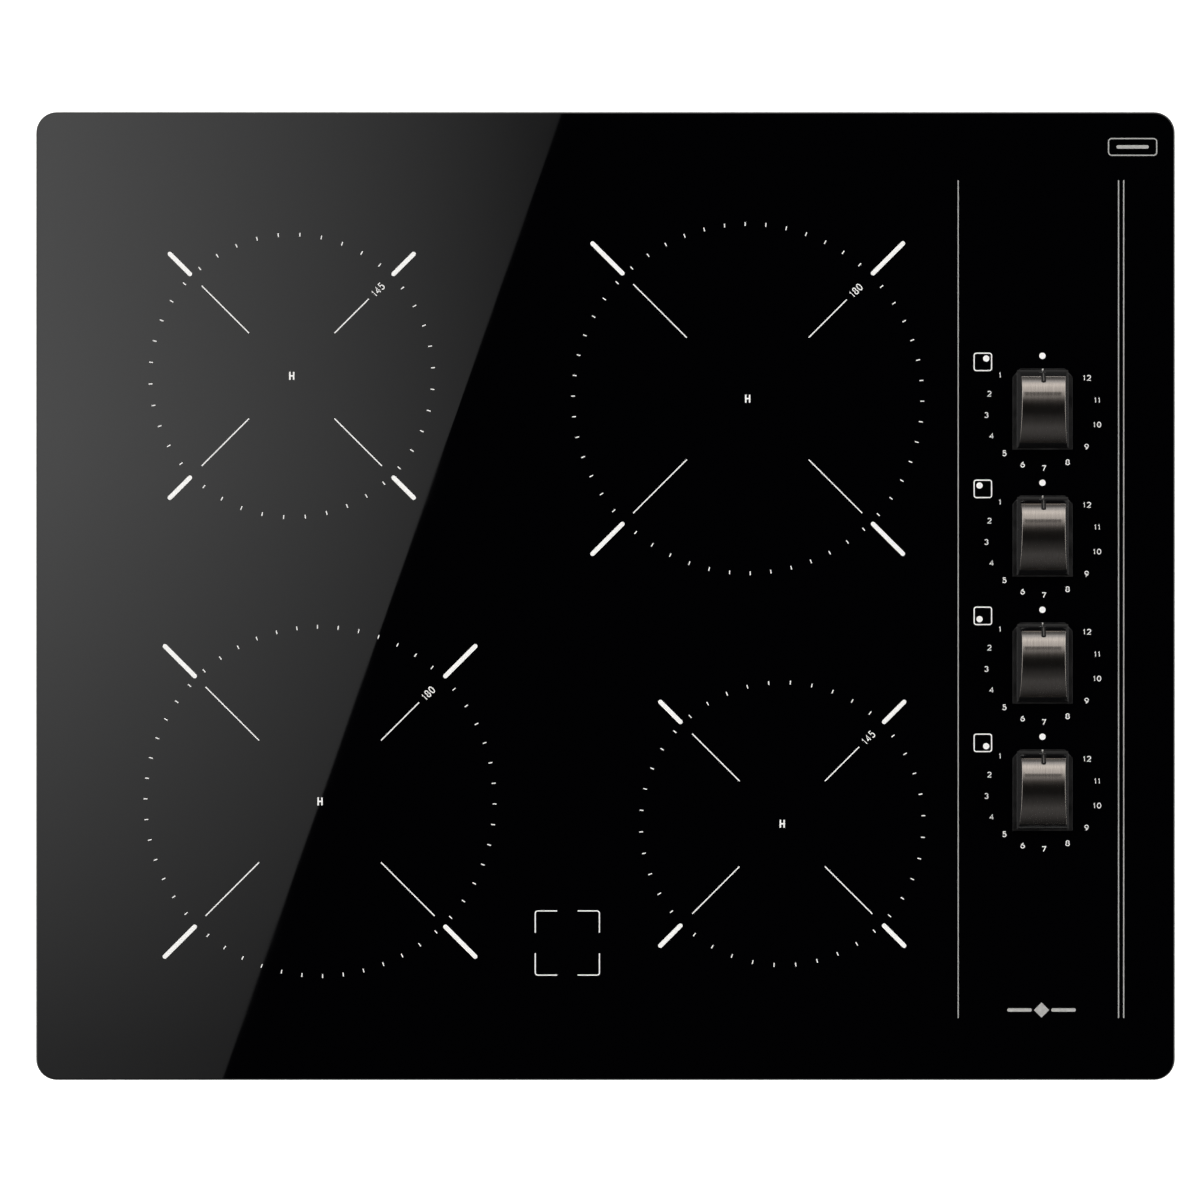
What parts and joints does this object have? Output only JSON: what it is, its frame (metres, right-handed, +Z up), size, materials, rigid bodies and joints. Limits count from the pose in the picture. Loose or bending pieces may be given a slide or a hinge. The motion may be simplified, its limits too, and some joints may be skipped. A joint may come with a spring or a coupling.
{
  "type": "induction cooktop",
  "caption": "Built-in electric cooktop: black glass plate with printed cooking zones and a strip of rotary knobs, over a sheet steel tray with coils and cooling fan.",
  "frame": {"origin": "middle of the glass outline, in the plane of the worktop (the underside of the seal)", "axes": "+X to the user's right, +Y to the back, +Z up out of the worktop"},
  "size_m": [0.6, 0.51, 0.08],
  "materials": {
    "black_glass": "polished black glass ceramic",
    "foam_seal": "closed-cell foam tape",
    "silicone": "satin silicone bead",
    "zinc_steel": "zinc-coated sheet",
    "screw_steel": "zinc-plated",
    "spring_steel": "spring steel, plain",
    "ferrite": "sintered, matt",
    "carrier_aluminium": "mill finish",
    "sensor_plastic": "moulded",
    "circuit_board": "solder resist on glass laminate",
    "component_plastic": "moulded cases",
    "black_plastic": "moulded, fine grain",
    "lead_sleeve": "silicone glass sleeve",
    "grey_plastic": "moulded, fine grain",
    "terminal_plastic": "moulded polyamide",
    "black_rubber": "moulded",
    "red_lamp": "tinted lamp body",
    "mica": "pressed mica sheet",
    "litz_copper": "varnished stranded copper",
    "former_plastic": "glass-filled, moulded",
    "shaft_plastic": "moulded polyamide",
    "knob_plastic": "moulded, polished black",
    "knob_metal": "dark brushed strip",
    "pointer_inlay": "dark inlay",
    "print_ink": "fired ceramic ink"
  },
  "bodies": {
    "root": {"adhesive_bead": "silicone", "board_parts": "component_plastic", "bottom_tray": "zinc_steel", "carrier_springs": "spring_steel", "coil_carrier_left": "carrier_aluminium", "coil_carrier_right": "carrier_aluminium", "coil_former_front_left": "former_plastic", "coil_former_front_right": "former_plastic", "coil_former_rear_left": "former_plastic", "coil_former_rear_right": "former_plastic", "coil_winding_front_left": "litz_copper", "coil_winding_front_right": "litz_copper", "coil_winding_rear_left": "litz_copper", "coil_winding_rear_right": "litz_copper", "control_board": "circuit_board", "control_bracket": "zinc_steel", "fan_housing": "black_plastic", "ferrite_bars": "ferrite", "fixing_springs": "spring_steel", "glass_plate": "black_glass", "heat_sink": "carrier_aluminium", "indicator_board": "circuit_board", "indicator_lamps": "red_lamp", "inlet_bush": "black_plastic", "mica_disc_front_left": "mica", "mica_disc_front_right": "mica", "mica_disc_rear_left": "mica", "mica_disc_rear_right": "mica", "potentiometers": "component_plastic", "power_board": "circuit_board", "shaft_seals": "black_rubber", "side_screws": "screw_steel", "support_frame": "zinc_steel", "temperature_sensors": "sensor_plastic", "terminal_block": "terminal_plastic", "terminal_box": "grey_plastic", "wiring": "lead_sleeve", "worktop_seal": "foam_seal"},
    "fan": {"fan_rotor": "black_plastic"},
    "terminal_door": {"terminal_cover": "grey_plastic"},
    "knob_1": {"control_shaft_1": "shaft_plastic", "knob_body_1": "knob_plastic", "knob_face_1": "knob_metal", "knob_pointer_1": "pointer_inlay", "knob_clip_1": "spring_steel"},
    "knob_2": {"control_shaft_2": "shaft_plastic", "knob_body_2": "knob_plastic", "knob_face_2": "knob_metal", "knob_pointer_2": "pointer_inlay", "knob_clip_2": "spring_steel"},
    "knob_3": {"control_shaft_3": "shaft_plastic", "knob_body_3": "knob_plastic", "knob_face_3": "knob_metal", "knob_pointer_3": "pointer_inlay", "knob_clip_3": "spring_steel"},
    "knob_4": {"control_shaft_4": "shaft_plastic", "knob_body_4": "knob_plastic", "knob_face_4": "knob_metal", "knob_pointer_4": "pointer_inlay", "knob_clip_4": "spring_steel"}
  },
  "joints": [
    {"name": "knob_1_turn", "type": "hinge", "parent": "root", "child": "knob_1", "pos_m": [0.2302, 0.09695, 0.006], "axis": [0, 0, 1], "range_deg": [0, 307]},
    {"name": "knob_2_turn", "type": "hinge", "parent": "root", "child": "knob_2", "pos_m": [0.2302, 0.03005, 0.006], "axis": [0, 0, 1], "range_deg": [0, 307]},
    {"name": "knob_3_turn", "type": "hinge", "parent": "root", "child": "knob_3", "pos_m": [0.2302, -0.03685, 0.006], "axis": [0, 0, 1], "range_deg": [0, 307]},
    {"name": "knob_4_turn", "type": "hinge", "parent": "root", "child": "knob_4", "pos_m": [0.2302, -0.10375, 0.006], "axis": [0, 0, 1], "range_deg": [0, 307]},
    {"name": "fan_spin", "type": "hinge", "parent": "root", "child": "fan", "pos_m": [0.06765, 0.176, -0.045], "axis": [0, 0, 1], "continuous": true},
    {"name": "terminal_door_hinge", "type": "hinge", "parent": "root", "child": "terminal_door", "pos_m": [0.224, 0.1891, -0.0496], "axis": [-1, 0, 0], "range_deg": [0, 100]}
  ]
}
